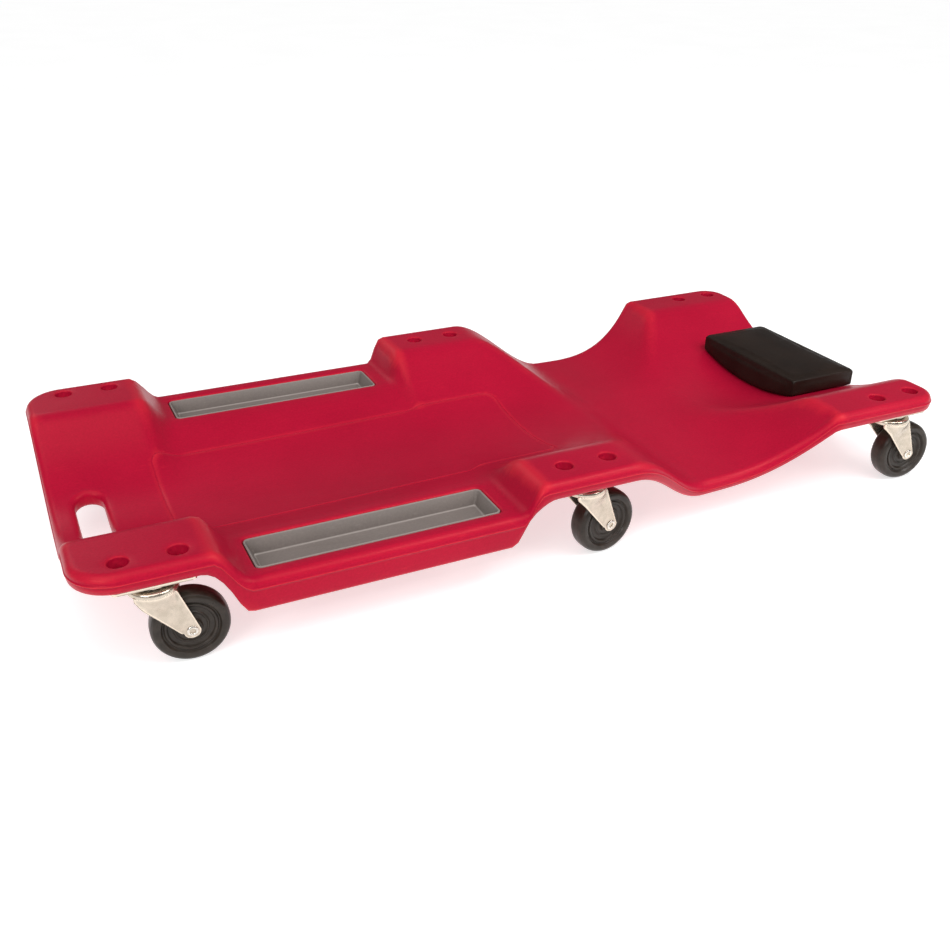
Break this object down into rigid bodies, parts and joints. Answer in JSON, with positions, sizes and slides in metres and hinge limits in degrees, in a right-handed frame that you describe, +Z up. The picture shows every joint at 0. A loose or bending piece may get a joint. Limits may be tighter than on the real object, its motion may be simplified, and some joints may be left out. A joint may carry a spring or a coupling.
{
  "type": "mechanics creeper",
  "caption": "Low rolling board for lying under a vehicle: dished plastic deck with tool trays, hand slot, padded headrest and ball-race swivel casters.",
  "frame": {"origin": "on the floor, below the middle of the deck's bounding box", "axes": "+X along the length towards the head end, +Y to the right hand of a person lying on their back, +Z up"},
  "size_m": [1.0266, 0.48, 0.117],
  "materials": {
    "deck_plastic": "blow-moulded polyethylene, fine matte grain",
    "tray_plastic": "moulded polypropylene, fine grain",
    "plywood": "plain plywood",
    "foam": "open cell foam",
    "vinyl": "black upholstery vinyl, soft sheen",
    "zinc_plate": "bright zinc plated pressed steel",
    "zinc_fastener": "zinc plated steel",
    "bearing_steel": "hardened steel",
    "wheel_rubber": "hard moulded rubber"
  },
  "bodies": {
    "deck_body": {"deck": "deck_plastic", "tool_tray_left": "tray_plastic", "tool_tray_right": "tray_plastic", "headrest_board": "plywood", "headrest_foam": "foam", "headrest_cover": "vinyl", "headrest_bolts": "zinc_fastener", "headrest_tee_nuts": "zinc_fastener", "caster_bolts": "zinc_fastener", "caster_washers": "zinc_fastener", "caster_nuts": "zinc_fastener", "foot_left_plate": "zinc_plate", "foot_left_kingpin": "zinc_fastener", "foot_left_thrust_washer": "zinc_fastener", "mid_left_plate": "zinc_plate", "mid_left_kingpin": "zinc_fastener", "mid_left_thrust_washer": "zinc_fastener", "head_left_plate": "zinc_plate", "head_left_kingpin": "zinc_fastener", "head_left_thrust_washer": "zinc_fastener", "foot_right_plate": "zinc_plate", "foot_right_kingpin": "zinc_fastener", "foot_right_thrust_washer": "zinc_fastener", "mid_right_plate": "zinc_plate", "mid_right_kingpin": "zinc_fastener", "mid_right_thrust_washer": "zinc_fastener", "head_right_plate": "zinc_plate", "head_right_kingpin": "zinc_fastener", "head_right_thrust_washer": "zinc_fastener"},
    "foot_left_swivel": {"foot_left_fork": "zinc_plate", "foot_left_balls": "bearing_steel", "foot_left_axle": "zinc_fastener"},
    "foot_left_roller": {"foot_left_wheel": "wheel_rubber", "foot_left_bushing": "bearing_steel"},
    "mid_left_swivel": {"mid_left_fork": "zinc_plate", "mid_left_balls": "bearing_steel", "mid_left_axle": "zinc_fastener"},
    "mid_left_roller": {"mid_left_wheel": "wheel_rubber", "mid_left_bushing": "bearing_steel"},
    "head_left_swivel": {"head_left_fork": "zinc_plate", "head_left_balls": "bearing_steel", "head_left_axle": "zinc_fastener"},
    "head_left_roller": {"head_left_wheel": "wheel_rubber", "head_left_bushing": "bearing_steel"},
    "foot_right_swivel": {"foot_right_fork": "zinc_plate", "foot_right_balls": "bearing_steel", "foot_right_axle": "zinc_fastener"},
    "foot_right_roller": {"foot_right_wheel": "wheel_rubber", "foot_right_bushing": "bearing_steel"},
    "mid_right_swivel": {"mid_right_fork": "zinc_plate", "mid_right_balls": "bearing_steel", "mid_right_axle": "zinc_fastener"},
    "mid_right_roller": {"mid_right_wheel": "wheel_rubber", "mid_right_bushing": "bearing_steel"},
    "head_right_swivel": {"head_right_fork": "zinc_plate", "head_right_balls": "bearing_steel", "head_right_axle": "zinc_fastener"},
    "head_right_roller": {"head_right_wheel": "wheel_rubber", "head_right_bushing": "bearing_steel"}
  },
  "joints": [
    {"name": "foot_left_swivel_turn", "type": "hinge", "parent": "deck_body", "child": "foot_left_swivel", "pos_m": [-0.437, -0.206, 0.09], "axis": [0, 0, 1], "continuous": true},
    {"name": "foot_left_wheel_spin", "type": "hinge", "parent": "foot_left_swivel", "child": "foot_left_roller", "pos_m": [-0.40904, -0.20747, 0.0375], "axis": [0.0523, 0.9986, 0], "continuous": true},
    {"name": "mid_left_swivel_turn", "type": "hinge", "parent": "deck_body", "child": "mid_left_swivel", "pos_m": [0.018, -0.206, 0.09], "axis": [0, 0, 1], "continuous": true},
    {"name": "mid_left_wheel_spin", "type": "hinge", "parent": "mid_left_swivel", "child": "mid_left_roller", "pos_m": [0.04579, -0.20259, 0.0375], "axis": [-0.1219, 0.9925, 0], "continuous": true},
    {"name": "head_left_swivel_turn", "type": "hinge", "parent": "deck_body", "child": "head_left_swivel", "pos_m": [0.453, -0.206, 0.09], "axis": [0, 0, 1], "continuous": true},
    {"name": "head_left_wheel_spin", "type": "hinge", "parent": "head_left_swivel", "child": "head_left_roller", "pos_m": [0.48096, -0.20747, 0.0375], "axis": [0.0523, 0.9986, 0], "continuous": true},
    {"name": "foot_right_swivel_turn", "type": "hinge", "parent": "deck_body", "child": "foot_right_swivel", "pos_m": [-0.437, 0.206, 0.09], "axis": [0, 0, 1], "continuous": true},
    {"name": "foot_right_wheel_spin", "type": "hinge", "parent": "foot_right_swivel", "child": "foot_right_roller", "pos_m": [-0.40902, 0.20698, 0.0375], "axis": [-0.0349, 0.9994, 0], "continuous": true},
    {"name": "mid_right_swivel_turn", "type": "hinge", "parent": "deck_body", "child": "mid_right_swivel", "pos_m": [0.018, 0.206, 0.09], "axis": [0, 0, 1], "continuous": true},
    {"name": "mid_right_wheel_spin", "type": "hinge", "parent": "mid_right_swivel", "child": "mid_right_roller", "pos_m": [0.04593, 0.20405, 0.0375], "axis": [0.0698, 0.9976, 0], "continuous": true},
    {"name": "head_right_swivel_turn", "type": "hinge", "parent": "deck_body", "child": "head_right_swivel", "pos_m": [0.453, 0.206, 0.09], "axis": [0, 0, 1], "continuous": true},
    {"name": "head_right_wheel_spin", "type": "hinge", "parent": "head_right_swivel", "child": "head_right_roller", "pos_m": [0.48096, 0.20747, 0.0375], "axis": [-0.0523, 0.9986, 0], "continuous": true}
  ]
}
